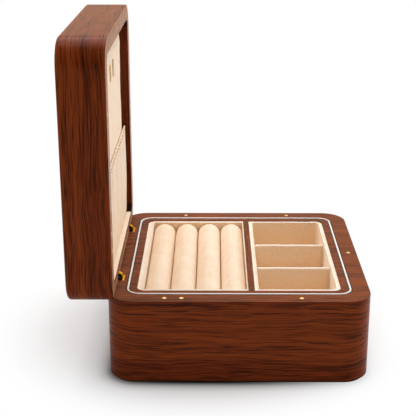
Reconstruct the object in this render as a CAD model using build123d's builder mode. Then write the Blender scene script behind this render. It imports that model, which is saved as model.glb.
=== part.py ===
from build123d import *
import os

# A square wooden box for cufflinks and rings, with a lift-out tray and a hinged lid.
# Sizes are in millimetres. The origin is the centre of the felt underside, +Z is up,
# +X points at the side that opens, and the hinges lie along the -X side. The lid
# stands open at a right angle, resting on the bevels along the hinge edge.

# Outer box
box_side = 210.0
corner_radius = 21.0
base_height = 72.0
lid_height = 37.0
base_wall = 14.3
lid_wall = 13.5
rim_gap = 0.3
rim_round = 0.6
foot_round = 1.0
lid_edge_round = 3.0
overcut = 1.0

# Bottom panel and felt
felt_thickness = 2.0
felt_inset = 2.5
bottom_thickness = 5.0
bottom_rebate = 6.0
glue_gap = 0.1

# White trim ring round the well
well_radius = 11.6
trim_width = 1.5
trim_gap = 0.35
trim_proud = 0.4
trim_round = 0.4

# Lining of the store under the tray
store_lining = 5.0
store_pad = 2.0
soft_gap = 0.3

# Lift-out tray
tray_height = 32.0
tray_drop = 0.2
tray_wall = 6.1
tray_inner_radius = 7.0
tray_round = 0.5
tray_bottom_thickness = 3.0
tray_rebate = 3.0
divider_width = 5.0
divider_x = 10.1
lining_drop = 0.4
lining_round = 1.2

# Four soft rolls on the hinge side of the divider
roll_count = 4
roll_side_lining = 4.9
roll_end_lining = 3.5
roll_divider_lining = 0.8
roll_gap = 0.5
roll_drop = 1.4

# Three open compartments on the other side
compartment_count = 3
compartment_lining_wall = 3.4
compartment_pad = 2.0
partition_thickness = 4.0
partition_drop = 3.0

# Lid top and its soft furnishing, at depths measured from the lid's rim
lid_panel_thickness = 8.0
lid_panel_rebate = 5.5
lid_panel_radius = 6.0
lid_board_thickness = 4.0
lid_cushion_depth = 6.2
lid_cushion_round = 2.0
hinge_wall_lining = 1.0
pocket_thickness = 1.2
pocket_height = 79.0
hem_width = 4.0
hem_thickness = 1.4
tab_count = 2
tab_spacing = 24.0
tab_length = 15.0
tab_width = 7.0
tab_thickness = 1.2
tab_edge_x = 70.0

# Magnets that hold the lid shut, set flush in both rims
magnet_radius = 1.9
magnet_length = 6.0
magnet_round = 0.3
magnet_line = 7.3
front_magnets_x = (-59.5, -46.0, 49.0)
rear_magnets_x = (-47.5, 50.0)

# Stop hinges, sunk in pockets that run out through the bevels
hinge_inset = 6.0
bevel_gap = 0.2
hinge_spacing = 114.0
pocket_length = 12.0
pocket_depth = 7.0
pocket_reach = 5.0
hinge_side_gap = 0.1
hinge_plate = 1.2
hinge_plate_reach = 4.0
hinge_bar_thickness = 1.5
ear_thickness = 1.6
ear_radius = 2.4
ear_gap = 0.3
arm_width = 4.0
arm_barrel_radius = 3.0
arm_strap_back = 1.5
pin_radius = 1.0
pin_clearance = 0.05
screw_radius = 0.8
screw_length = 8.0
screw_head_radius = 1.5
screw_head_height = 0.7

# Heights and half sizes that follow
half_side = box_side / 2
well_side = box_side - 2 * base_wall
bottom_side = well_side + 2 * bottom_rebate
bottom_radius = well_radius + bottom_rebate / 2
bottom_top = felt_thickness + bottom_thickness
tray_top = base_height - tray_drop
tray_foot = tray_top - tray_height
tray_floor = tray_foot + tray_bottom_thickness
trim_side = well_side - 2 * trim_gap
trim_radius = well_radius - trim_gap
tray_side = trim_side - 2 * trim_width - 2 * trim_gap
tray_radius = trim_radius - trim_width - trim_gap
tray_inner_side = tray_side - 2 * tray_wall
tray_bottom_side = tray_inner_side + 2 * tray_rebate
tray_bottom_radius = tray_inner_radius + tray_rebate / 2
lining_side = tray_inner_side - 2 * glue_gap
lining_radius = tray_inner_radius - glue_gap
lining_top = tray_top - lining_drop
lining_height = lining_top - tray_floor
divider_left = divider_x - divider_width / 2
divider_right = divider_x + divider_width / 2

# Planes of the two rims and the sections through them. The lid's plane stands upright:
# its x runs up from the hinge edge and its z runs from the rim into the lid, so that a
# point keeps the x and y that it has over the base when the lid is shut.
hinge_x = hinge_inset - half_side
hinge_z = base_height + rim_gap / 2
base_rim = Plane.XY.offset(base_height)
base_section = Plane(origin=base_rim.origin, x_dir=(1, 0, 0), z_dir=(0, -1, 0))
lid_origin = (hinge_x - rim_gap / 2, 0, hinge_z - hinge_x)
lid_rim = Plane(origin=lid_origin, x_dir=(0, 0, 1), z_dir=(-1, 0, 0))
lid_section = Plane(origin=lid_origin, x_dir=(0, 0, 1), z_dir=(0, -1, 0))
lid_depth = Axis(lid_origin, (-1, 0, 0))
base_inward = -1
lid_inward = 1

hinge_places = {"front": -hinge_spacing / 2, "rear": hinge_spacing / 2}
magnet_places = (
    [(half_side - magnet_line, 0)]
    + [(x, magnet_line - half_side) for x in front_magnets_x]
    + [(x, half_side - magnet_line) for x in rear_magnets_x]
)
bevel_edge = hinge_x - rim_gap / 2 + bevel_gap

# Along each hinge: the arm at its rear end, two ears, and a screw between the ears
hinge_width = pocket_length - 2 * hinge_side_gap
rear_edge = hinge_width / 2
arm_start = rear_edge - arm_width
ear_starts = (-rear_edge, arm_start - ear_gap - ear_thickness)
screw_x = hinge_x - ear_radius / 2
screw_shift = (ear_starts[0] + ear_thickness + ear_starts[1]) / 2
screw_places = [(screw_x, y + screw_shift) for y in hinge_places.values()]

os.makedirs("parts", exist_ok=True)


def bevel_wedge(section, inward):
    """The 45 degree wedge planed off the hinge edge of one half, seen in section."""
    top = (bevel_edge + overcut, -inward * overcut)
    foot = (-half_side - overcut, inward * (bevel_edge + half_side + overcut))
    with BuildSketch(section) as wedge:
        with BuildLine():
            Polyline(top, foot, (foot[0], top[1]), close=True)
        make_face()
    return wedge.sketch


def hinge_pockets(rim):
    """The two rectangular hinge pockets, open to the outside, seen on a rim."""
    outer_x = -half_side - overcut
    inner_x = hinge_x + pocket_reach
    with BuildSketch(rim) as pockets:
        with Locations(*[((outer_x + inner_x) / 2, y) for y in hinge_places.values()]):
            Rectangle(inner_x - outer_x, pocket_length)
    return pockets.sketch


def circles(plane, places, radius):
    """Equal circles on a plane, for magnets, screws and their holes."""
    with BuildSketch(plane) as rounds:
        with Locations(*places):
            Circle(radius)
    return rounds.sketch


def half_rounded(plane, left, right, width, radius, round_right):
    """A rectangle from left to right, rounded at the corners of one end only."""
    with BuildSketch(plane) as outline:
        with Locations(((left + right) / 2, 0)):
            Rectangle(right - left, width)
        ends = outline.vertices().group_by(Axis.X)
        fillet(ends[-1] if round_right else ends[0], radius)
    return outline.sketch


def inner_edges(half, rim, opening_side):
    """The sharp edges round the opening of one half, on its rim."""
    found = []
    for edge in half.edges():
        middle = rim.to_local_coords(edge.center())
        reach = max(abs(middle.X), abs(middle.Y))
        if abs(middle.Z) < rim_round / 2 and reach < opening_side / 2 + rim_round:
            found.append(edge)
    return found


def screws(plane, inward):
    """Two small round-headed screws, their heads standing on the plane."""
    with BuildPart() as pair:
        extrude(circles(plane, screw_places, screw_head_radius), amount=-inward * screw_head_height)
        extrude(circles(plane, screw_places, screw_radius), amount=inward * screw_length)
    return pair.part


# ---------------------------------------------------------------- base

with BuildPart() as base_frame:
    with BuildSketch(Plane.XY.offset(felt_thickness)):
        RectangleRounded(box_side, box_side, corner_radius)
    extrude(amount=base_height - felt_thickness)
    fillet(base_frame.edges().group_by(Axis.Z)[-1], rim_round)
    fillet(base_frame.edges().group_by(Axis.Z)[0], foot_round)
    with BuildSketch(base_rim):
        RectangleRounded(well_side, well_side, well_radius)
    extrude(amount=-base_height, mode=Mode.SUBTRACT)
    fillet(inner_edges(base_frame, base_rim, well_side), rim_round)
    with BuildSketch(Plane.XY.offset(felt_thickness)):
        RectangleRounded(bottom_side, bottom_side, bottom_radius)
    extrude(amount=bottom_thickness, mode=Mode.SUBTRACT)
    extrude(bevel_wedge(base_section, base_inward), amount=box_side, both=True, mode=Mode.SUBTRACT)
    extrude(hinge_pockets(base_rim), amount=-pocket_depth, mode=Mode.SUBTRACT)
    extrude(circles(base_rim, magnet_places, magnet_radius), amount=-magnet_length, mode=Mode.SUBTRACT)
    pocket_floor = base_rim.offset(-pocket_depth)
    extrude(circles(pocket_floor, screw_places, screw_radius), amount=-screw_length, mode=Mode.SUBTRACT)
base_frame.part.label = "base_frame"
export_step(base_frame.part, "parts/base_frame.step")

with BuildPart() as base_bottom:
    panel_side = bottom_side - 2 * glue_gap
    with BuildSketch(Plane.XY.offset(felt_thickness)):
        RectangleRounded(panel_side, panel_side, bottom_radius - glue_gap)
    extrude(amount=bottom_thickness)
base_bottom.part.label = "base_bottom"
export_step(base_bottom.part, "parts/base_bottom.step")

with BuildPart() as base_felt:
    felt_side = box_side - 2 * felt_inset
    with BuildSketch():
        RectangleRounded(felt_side, felt_side, corner_radius - felt_inset)
    extrude(amount=felt_thickness)
base_felt.part.label = "base_felt"
export_step(base_felt.part, "parts/base_felt.step")

with BuildPart() as store_walls:
    lining_outer = well_side - 2 * glue_gap
    lining_inner = lining_outer - 2 * store_lining
    with BuildSketch(Plane.XY.offset(bottom_top)):
        RectangleRounded(lining_outer, lining_outer, well_radius - glue_gap)
        RectangleRounded(lining_inner, lining_inner, well_radius - store_lining, mode=Mode.SUBTRACT)
    extrude(amount=tray_foot - bottom_top)
store_walls.part.label = "store_lining"
export_step(store_walls.part, "parts/store_lining.step")

with BuildPart() as store_floor:
    pad_side = lining_inner - 2 * soft_gap
    with BuildSketch(Plane.XY.offset(bottom_top)):
        RectangleRounded(pad_side, pad_side, well_radius - store_lining)
    extrude(amount=store_pad)
store_floor.part.label = "store_floor_pad"
export_step(store_floor.part, "parts/store_floor_pad.step")

with BuildPart() as trim_ring:
    trim_inner_side = trim_side - 2 * trim_width
    with BuildSketch(Plane.XY.offset(tray_foot)):
        RectangleRounded(trim_side, trim_side, trim_radius)
        RectangleRounded(trim_inner_side, trim_inner_side, trim_radius - trim_width, mode=Mode.SUBTRACT)
    extrude(amount=base_height + trim_proud - tray_foot)
    fillet(trim_ring.edges().group_by(Axis.Z)[-1], trim_round)
trim_ring.part.label = "trim_ring"
export_step(trim_ring.part, "parts/trim_ring.step")

with BuildPart() as base_magnets:
    extrude(circles(base_rim, magnet_places, magnet_radius), amount=-magnet_length)
    chamfer(base_magnets.edges().group_by(Axis.Z)[-1], magnet_round)
base_magnets.part.label = "base_magnets"
export_step(base_magnets.part, "parts/base_magnets.step")

# ---------------------------------------------------------------- tray

with BuildPart() as tray_frame:
    with BuildSketch(Plane.XY.offset(tray_foot)):
        RectangleRounded(tray_side, tray_side, tray_radius)
        RectangleRounded(tray_inner_side, tray_inner_side, tray_inner_radius, mode=Mode.SUBTRACT)
    extrude(amount=tray_height)
    fillet(tray_frame.edges().group_by(Axis.Z)[-1], tray_round)
    with BuildSketch(Plane.XY.offset(tray_foot)):
        RectangleRounded(tray_bottom_side, tray_bottom_side, tray_bottom_radius)
    extrude(amount=tray_bottom_thickness, mode=Mode.SUBTRACT)
tray_frame.part.label = "tray_frame"
export_step(tray_frame.part, "parts/tray_frame.step")

with BuildPart() as tray_bottom:
    sheet_side = tray_bottom_side - 2 * glue_gap
    with BuildSketch(Plane.XY.offset(tray_foot)):
        RectangleRounded(sheet_side, sheet_side, tray_bottom_radius - glue_gap)
    extrude(amount=tray_bottom_thickness)
tray_bottom.part.label = "tray_bottom"
export_step(tray_bottom.part, "parts/tray_bottom.step")

with BuildPart() as tray_divider:
    with BuildSketch(Plane.XY.offset(tray_floor)):
        with Locations((divider_x, 0)):
            Rectangle(divider_width, lining_side)
    extrude(amount=tray_top - tray_floor)
    fillet(tray_divider.edges().group_by(Axis.Z)[-1].filter_by(Axis.Y), tray_round)
tray_divider.part.label = "tray_divider"
export_step(tray_divider.part, "parts/tray_divider.step")

roll_bed_left = roll_side_lining - lining_side / 2
roll_bed_right = divider_left - glue_gap - roll_divider_lining
roll_bed_side = lining_side - 2 * roll_end_lining

with BuildPart() as roll_lining:
    bed_outline = half_rounded(
        Plane.XY.offset(tray_floor),
        -lining_side / 2,
        divider_left - glue_gap,
        lining_side,
        lining_radius,
        False,
    )
    extrude(bed_outline, amount=lining_height)
    with BuildSketch(Plane.XY.offset(tray_floor)):
        with Locations(((roll_bed_left + roll_bed_right) / 2, 0)):
            Rectangle(roll_bed_right - roll_bed_left, roll_bed_side)
    extrude(amount=lining_height, mode=Mode.SUBTRACT)
roll_lining.part.label = "roll_lining"
export_step(roll_lining.part, "parts/roll_lining.step")

roll_pitch = (roll_bed_right - roll_bed_left) / roll_count
roll_radius = (roll_pitch - roll_gap) / 2
roll_side = roll_bed_side - 2 * soft_gap
roll_foot = tray_floor + glue_gap
roll_centre = tray_top - roll_drop - roll_radius
for number in range(roll_count):
    roll_x = roll_bed_left + (number + 0.5) * roll_pitch
    with BuildPart() as roll:
        with BuildSketch(Plane.XZ):
            with Locations((roll_x, roll_centre)):
                Circle(roll_radius)
            with Locations((roll_x, (roll_foot + roll_centre) / 2)):
                Rectangle(2 * roll_radius, roll_centre - roll_foot)
        extrude(amount=roll_side / 2, both=True)
    roll.part.label = f"roll_{number + 1}"
    export_step(roll.part, f"parts/roll_{number + 1}.step")

pocket_left = divider_right + glue_gap + compartment_lining_wall
pocket_right = lining_side / 2 - compartment_lining_wall
pocket_side = lining_side - 2 * compartment_lining_wall

with BuildPart() as compartment_lining:
    compartment_outline = half_rounded(
        Plane.XY.offset(tray_floor),
        divider_right + glue_gap,
        lining_side / 2,
        lining_side,
        lining_radius,
        True,
    )
    extrude(compartment_outline, amount=lining_height)
    with BuildSketch(Plane.XY.offset(tray_floor)):
        with Locations(((pocket_left + pocket_right) / 2, 0)):
            pocket_radius = lining_radius - compartment_lining_wall
            RectangleRounded(pocket_right - pocket_left, pocket_side, pocket_radius)
    extrude(amount=lining_height, mode=Mode.SUBTRACT)
    fillet(compartment_lining.edges().group_by(Axis.Z)[-1], lining_round)
compartment_lining.part.label = "compartment_lining"
export_step(compartment_lining.part, "parts/compartment_lining.step")

with BuildPart() as compartment_floor:
    with BuildSketch(Plane.XY.offset(tray_floor)):
        with Locations(((pocket_left + pocket_right) / 2, 0)):
            RectangleRounded(
                pocket_right - pocket_left - 2 * soft_gap,
                pocket_side - 2 * soft_gap,
                lining_radius - compartment_lining_wall,
            )
    extrude(amount=compartment_pad)
compartment_floor.part.label = "compartment_floor_pad"
export_step(compartment_floor.part, "parts/compartment_floor_pad.step")

partition_foot = tray_floor + compartment_pad + glue_gap
partition_radius = partition_thickness / 2
partition_centre = tray_top - partition_drop - partition_radius
compartment_pitch = (pocket_side + partition_thickness) / compartment_count
for number in range(1, compartment_count):
    partition_y = number * compartment_pitch - (pocket_side + partition_thickness) / 2
    with BuildPart() as partition:
        with BuildSketch(Plane.YZ.offset(pocket_left + soft_gap)):
            with Locations((partition_y, partition_centre)):
                Circle(partition_radius)
            with Locations((partition_y, (partition_foot + partition_centre) / 2)):
                Rectangle(partition_thickness, partition_centre - partition_foot)
        extrude(amount=pocket_right - pocket_left - 2 * soft_gap)
    partition.part.label = f"partition_{number}"
    export_step(partition.part, f"parts/partition_{number}.step")

# ---------------------------------------------------------------- lid

lid_inner_side = box_side - 2 * lid_wall
lid_inner_radius = corner_radius - lid_wall
lid_panel_side = lid_inner_side + 2 * lid_panel_rebate
lid_panel_depth = lid_height - lid_panel_thickness
lid_board_depth = lid_panel_depth - lid_board_thickness
pocket_top_depth = lid_cushion_depth - soft_gap

with BuildPart() as lid_frame:
    with BuildSketch(lid_rim):
        RectangleRounded(box_side, box_side, corner_radius)
    extrude(amount=lid_height)
    fillet(lid_frame.edges().group_by(lid_depth)[-1], lid_edge_round)
    fillet(lid_frame.edges().group_by(lid_depth)[0], rim_round)
    with BuildSketch(lid_rim):
        RectangleRounded(lid_inner_side, lid_inner_side, lid_inner_radius)
    extrude(amount=lid_height, mode=Mode.SUBTRACT)
    fillet(inner_edges(lid_frame, lid_rim, lid_inner_side), rim_round)
    with BuildSketch(lid_rim.offset(lid_panel_depth)):
        RectangleRounded(lid_panel_side, lid_panel_side, lid_panel_radius)
    extrude(amount=lid_panel_thickness, mode=Mode.SUBTRACT)
    extrude(bevel_wedge(lid_section, lid_inward), amount=box_side, both=True, mode=Mode.SUBTRACT)
    extrude(hinge_pockets(lid_rim), amount=pocket_depth, mode=Mode.SUBTRACT)
    extrude(circles(lid_rim, magnet_places, magnet_radius), amount=magnet_length, mode=Mode.SUBTRACT)
    pocket_floor = lid_rim.offset(pocket_depth)
    extrude(circles(pocket_floor, screw_places, screw_radius), amount=screw_length, mode=Mode.SUBTRACT)
lid_frame.part.label = "lid_frame"
export_step(lid_frame.part, "parts/lid_frame.step")

with BuildPart() as lid_panel:
    cover_side = lid_panel_side - 2 * glue_gap
    with BuildSketch(lid_rim.offset(lid_panel_depth)):
        RectangleRounded(cover_side, cover_side, lid_panel_radius - glue_gap)
    extrude(amount=lid_panel_thickness)
lid_panel.part.label = "lid_panel"
export_step(lid_panel.part, "parts/lid_panel.step")

with BuildPart() as lid_board:
    board_side = lid_inner_side - 2 * glue_gap
    with BuildSketch(lid_rim.offset(lid_board_depth)):
        RectangleRounded(board_side, board_side, lid_inner_radius - glue_gap)
    extrude(amount=lid_board_thickness)
lid_board.part.label = "lid_board"
export_step(lid_board.part, "parts/lid_board.step")

with BuildPart() as lid_cushion:
    cushion_side = lid_inner_side - 2 * soft_gap
    with BuildSketch(lid_rim.offset(lid_cushion_depth)):
        RectangleRounded(cushion_side, cushion_side, lid_inner_radius - soft_gap)
    extrude(amount=lid_board_depth - lid_cushion_depth)
    fillet(lid_cushion.edges().group_by(lid_depth)[0], lid_cushion_round)
lid_cushion.part.label = "lid_cushion"
export_step(lid_cushion.part, "parts/lid_cushion.step")

with BuildPart() as hinge_wall_strip:
    strip_x = (hinge_wall_lining - lid_inner_side) / 2 + glue_gap
    strip_length = lid_inner_side - 2 * lid_inner_radius
    with BuildSketch(lid_rim.offset(rim_round)):
        with Locations((strip_x, 0)):
            Rectangle(hinge_wall_lining, strip_length)
    extrude(amount=pocket_top_depth - rim_round)
hinge_wall_strip.part.label = "hinge_wall_lining"
export_step(hinge_wall_strip.part, "parts/hinge_wall_lining.step")

pocket_foot_x = strip_x + hinge_wall_lining / 2 + soft_gap
pocket_edge_x = pocket_foot_x + pocket_height
pocket_span = lid_inner_side - 2 * soft_gap

with BuildPart() as lid_pocket:
    pocket_plane = lid_rim.offset(pocket_top_depth - pocket_thickness)
    pocket_outline = half_rounded(
        pocket_plane, pocket_foot_x, pocket_edge_x, pocket_span, lid_inner_radius - soft_gap, False
    )
    extrude(pocket_outline, amount=pocket_thickness)
lid_pocket.part.label = "lid_pocket"
export_step(lid_pocket.part, "parts/lid_pocket.step")

with BuildPart() as pocket_hem:
    with BuildSketch(lid_rim.offset(pocket_top_depth - hem_thickness)):
        with Locations((pocket_edge_x + hem_width / 2 + glue_gap, 0)):
            Rectangle(hem_width, pocket_span)
    extrude(amount=hem_thickness)
pocket_hem.part.label = "pocket_hem"
export_step(pocket_hem.part, "parts/pocket_hem.step")

with BuildPart() as lid_tabs:
    with BuildSketch(lid_rim.offset(pocket_top_depth - tab_thickness)):
        with Locations((tab_edge_x - tab_length / 2, 0)):
            with GridLocations(tab_spacing, tab_spacing, 1, tab_count):
                Rectangle(tab_length, tab_width)
    extrude(amount=tab_thickness)
lid_tabs.part.label = "lid_tabs"
export_step(lid_tabs.part, "parts/lid_tabs.step")

with BuildPart() as lid_magnets:
    extrude(circles(lid_rim, magnet_places, magnet_radius), amount=magnet_length)
    chamfer(lid_magnets.edges().group_by(lid_depth)[0], magnet_round)
lid_magnets.part.label = "lid_magnets"
export_step(lid_magnets.part, "parts/lid_magnets.step")

# ---------------------------------------------------------------- hinges

pocket_end_x = hinge_x + pocket_reach - hinge_side_gap
plate_outer_x = hinge_x - hinge_plate_reach
plate_centre_x = (plate_outer_x + pocket_end_x) / 2
plate_length = pocket_end_x - plate_outer_x
floor_z = base_height - pocket_depth
lid_plate_depth = pocket_depth - hinge_plate
axis_in_lid = (hinge_x, -rim_gap / 2)

for name, hinge_y in hinge_places.items():
    with BuildPart() as base_plate:
        with BuildSketch(Plane.XY.offset(floor_z)):
            with Locations((plate_centre_x, hinge_y)):
                Rectangle(plate_length, hinge_width)
        extrude(amount=hinge_plate)
        for ear_start in ear_starts:
            with BuildSketch(Plane.XZ.offset(-hinge_y - ear_start)):
                with Locations((hinge_x, hinge_z)):
                    Circle(ear_radius)
                with Locations((hinge_x, (floor_z + hinge_z) / 2)):
                    Rectangle(2 * ear_radius, hinge_z - floor_z)
            extrude(amount=-ear_thickness)
        with BuildSketch(Plane.XZ.offset(-hinge_y)):
            with Locations((hinge_x, hinge_z)):
                Circle(pin_radius)
        extrude(amount=hinge_width, both=True, mode=Mode.SUBTRACT)
        with BuildSketch(Plane.XY.offset(floor_z)):
            with Locations((screw_x, hinge_y + screw_shift)):
                Circle(screw_radius)
        extrude(amount=hinge_plate, mode=Mode.SUBTRACT)
    base_plate.part.label = f"hinge_base_plate_{name}"
    export_step(base_plate.part, f"parts/hinge_base_plate_{name}.step")

    with BuildPart() as bar:
        with BuildSketch(Plane.XY.offset(floor_z + hinge_plate)):
            with Locations((pocket_end_x - hinge_bar_thickness / 2, hinge_y)):
                Rectangle(hinge_bar_thickness, hinge_width)
        extrude(amount=pocket_depth - hinge_plate)
    bar.part.label = f"hinge_bar_{name}"
    export_step(bar.part, f"parts/hinge_bar_{name}.step")

    with BuildPart() as pin:
        with BuildSketch(Plane.XZ.offset(rear_edge - hinge_y)):
            with Locations((hinge_x, hinge_z)):
                Circle(pin_radius)
        extrude(amount=-hinge_width)
    pin.part.label = f"hinge_pin_{name}"
    export_step(pin.part, f"parts/hinge_pin_{name}.step")

    with BuildPart() as arm:
        arm_section = lid_section.offset(-hinge_y - arm_start)
        with BuildSketch(arm_section):
            with Locations(axis_in_lid):
                Circle(arm_barrel_radius)
            strap_left = hinge_x - arm_strap_back
            strap_right = hinge_x + arm_barrel_radius
            with Locations(((strap_left + strap_right) / 2, (axis_in_lid[1] + lid_plate_depth) / 2)):
                Rectangle(strap_right - strap_left, lid_plate_depth - axis_in_lid[1])
            with Locations(axis_in_lid):
                Circle(pin_radius + pin_clearance, mode=Mode.SUBTRACT)
        extrude(amount=-arm_width)
    arm.part.label = f"hinge_arm_{name}"
    export_step(arm.part, f"parts/hinge_arm_{name}.step")

    with BuildPart() as lid_plate:
        with BuildSketch(lid_rim.offset(lid_plate_depth)):
            with Locations((plate_centre_x, hinge_y)):
                Rectangle(plate_length, hinge_width)
            with Locations((screw_x, hinge_y + screw_shift)):
                Circle(screw_radius, mode=Mode.SUBTRACT)
        extrude(amount=hinge_plate)
    lid_plate.part.label = f"hinge_lid_plate_{name}"
    export_step(lid_plate.part, f"parts/hinge_lid_plate_{name}.step")

base_screws = screws(Plane.XY.offset(floor_z + hinge_plate), base_inward)
base_screws.label = "hinge_screws_base"
export_step(base_screws, "parts/hinge_screws_base.step")

lid_screws = screws(lid_rim.offset(lid_plate_depth), lid_inward)
lid_screws.label = "hinge_screws_lid"
export_step(lid_screws, "parts/hinge_screws_lid.step")
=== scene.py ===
"""A square cufflink box in lacquered rosewood, lined with cream suede, its lid open upright.

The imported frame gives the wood, the hinges, the trim and the magnets. This file gives them their
finishes, makes the soft furnishing that stands for the frame's plain soft solids, and sets the
stage.
"""

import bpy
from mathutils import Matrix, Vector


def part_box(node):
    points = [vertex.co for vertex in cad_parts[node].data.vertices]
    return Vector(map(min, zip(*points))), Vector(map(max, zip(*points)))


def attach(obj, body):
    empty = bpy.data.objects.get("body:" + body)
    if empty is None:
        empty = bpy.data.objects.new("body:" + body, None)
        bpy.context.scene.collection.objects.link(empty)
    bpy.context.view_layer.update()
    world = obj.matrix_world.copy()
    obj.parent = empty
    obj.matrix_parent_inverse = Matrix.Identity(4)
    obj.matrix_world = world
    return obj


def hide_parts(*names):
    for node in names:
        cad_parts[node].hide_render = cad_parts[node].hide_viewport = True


bl_info = {
    "name": "Cufflink Box",
    "version": (1, 0, 0),
    "blender": (4, 5, 0),
    "location": "View3D > Sidebar > Cufflink Box",
    "description": "Finishes, suede furnishing and studio for a wooden cufflink box",
    "category": "Object",
}

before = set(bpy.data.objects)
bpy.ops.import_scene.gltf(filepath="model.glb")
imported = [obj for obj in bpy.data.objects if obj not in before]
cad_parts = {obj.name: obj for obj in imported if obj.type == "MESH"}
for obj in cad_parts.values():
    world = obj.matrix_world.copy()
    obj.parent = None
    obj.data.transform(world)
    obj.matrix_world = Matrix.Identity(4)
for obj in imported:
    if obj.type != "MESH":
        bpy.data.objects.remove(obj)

import math

import bmesh
import bpy
from bpy.props import FloatProperty, FloatVectorProperty, IntProperty, PointerProperty
from bpy.types import Operator, Panel, PropertyGroup
from mathutils import Matrix, Vector, noise

MM = 0.001

# Places that the frame gives, in millimetres
lid_low, lid_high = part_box("lid_frame")
LID_CENTRE_Z = (lid_low.z + lid_high.z) / 2 / MM
LID_RIM_X = lid_high.x / MM
HALF_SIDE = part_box("base_frame")[1].x / MM

# Takes a point from over the shut lid's rim to where it is on the open lid
OPEN_LID = Matrix(((0, 0, -1, LID_RIM_X), (0, 1, 0, 0), (1, 0, 0, LID_CENTRE_Z), (0, 0, 0, 1)))

# Sizes of the wooden case in millimetres: the radius of its corners, and the lid's wall
CORNER_RADIUS = 21.0
LID_WALL = 13.5

# How many times longer than wide the strokes of the wood's grain are
STRETCH = 42.0


# -------------------- colours and nodes


def linear(code):
    """The linear colour of an sRGB hex code."""
    shades = [int(code[i : i + 2], 16) / 255 for i in (0, 2, 4)]
    return [s / 12.92 if s <= 0.04045 else ((s + 0.055) / 1.055) ** 2.4 for s in shades] + [1.0]


def result(node):
    """The first result that a node gives."""
    return next(s for s in node.outputs if s.enabled)


def add_node(tree, kind, inputs=None, **settings):
    """A new shader node with its settings. Each input takes a plain value, a socket, or a node,
    which gives its first result."""
    made = tree.nodes.new("ShaderNode" + kind)
    for name, value in settings.items():
        setattr(made, name, value)
    for key, value in (inputs or {}).items():
        sockets = [s for s in made.inputs if s.enabled and s.name == key]
        socket = sockets[0] if sockets else made.inputs[key]
        if isinstance(value, bpy.types.Node):
            value = result(value)
        if isinstance(value, bpy.types.NodeSocket):
            tree.links.new(value, socket)
        else:
            socket.default_value = value
    return made


def maths(tree, operation, *values, **settings):
    """One step of arithmetic on numbers."""
    return add_node(tree, "Math", dict(enumerate(values)), operation=operation, **settings)


def vector_maths(tree, operation, *values):
    """One step of arithmetic on vectors."""
    return add_node(tree, "VectorMath", dict(enumerate(values)), operation=operation)


def ramp(tree, value, low, high, start=0.0, end=1.0, kind="SMOOTHSTEP"):
    """Goes from start to end while a value goes from low to high."""
    span = {"Value": value, "From Min": low, "From Max": high, "To Min": start, "To Max": end}
    return add_node(tree, "MapRange", span, interpolation_type=kind)


def mix(tree, factor, first, second, kind="RGBA"):
    """Goes from the first colour or vector to the second as the factor goes from 0 to 1."""
    return add_node(tree, "Mix", {"Factor": factor, "A": first, "B": second}, data_type=kind)


def new_material(name, values):
    """A node material and its principled shader, given the values that are even all over."""
    material = bpy.data.materials.new(name)
    material.use_nodes = True
    tree = material.node_tree
    shader = tree.nodes["Principled BSDF"]
    for key, value in values.items():
        shader.inputs[key].default_value = value
    return material, tree, shader


def in_millimetres(tree, turn=(0, 0, 0), shift=(0, 0, 0)):
    """The point on the piece in millimetres, turned and shifted into the pattern's own frame."""
    place = add_node(tree, "TexCoord").outputs["Object"]
    turned = {"Vector": place, "Scale": (1 / MM,) * 3, "Rotation": turn, "Location": shift}
    return add_node(tree, "Mapping", turned, vector_type="POINT")


def outside_square(tree, point, half):
    """How far a flat point lies outside a square about the centre, given half the square's side."""
    folded = vector_maths(tree, "ABSOLUTE", point)
    past = vector_maths(tree, "SUBTRACT", folded, (half, half, 0.0))
    outside = vector_maths(tree, "MAXIMUM", past, (0.0, 0.0, 0.0))
    return vector_maths(tree, "LENGTH", outside).outputs["Value"]


def painted(tree, colour, layers):
    """Lays colours over a first one. A layer shows where its pattern passes from a low level to a
    high one, up to its share. Also gives how much the last layer shows."""
    for pattern, low, high, share, tone in layers:
        shown = ramp(tree, pattern, low, high, 0.0, share)
        colour = mix(tree, shown, colour, tone)
    return colour, shown


def surface(tree, shader, colour, height, strength, depth, gloss=None):
    """Gives the shader its colour, its relief of a depth in millimetres, and perhaps its gloss."""
    relief = {"Strength": strength, "Distance": depth * MM, "Height": height}
    bump = add_node(tree, "Bump", relief)
    for name, node in (("Base Color", colour), ("Normal", bump), ("Roughness", gloss)):
        if node:
            tree.links.new(result(node), shader.inputs[name])


# -------------------- materials


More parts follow.
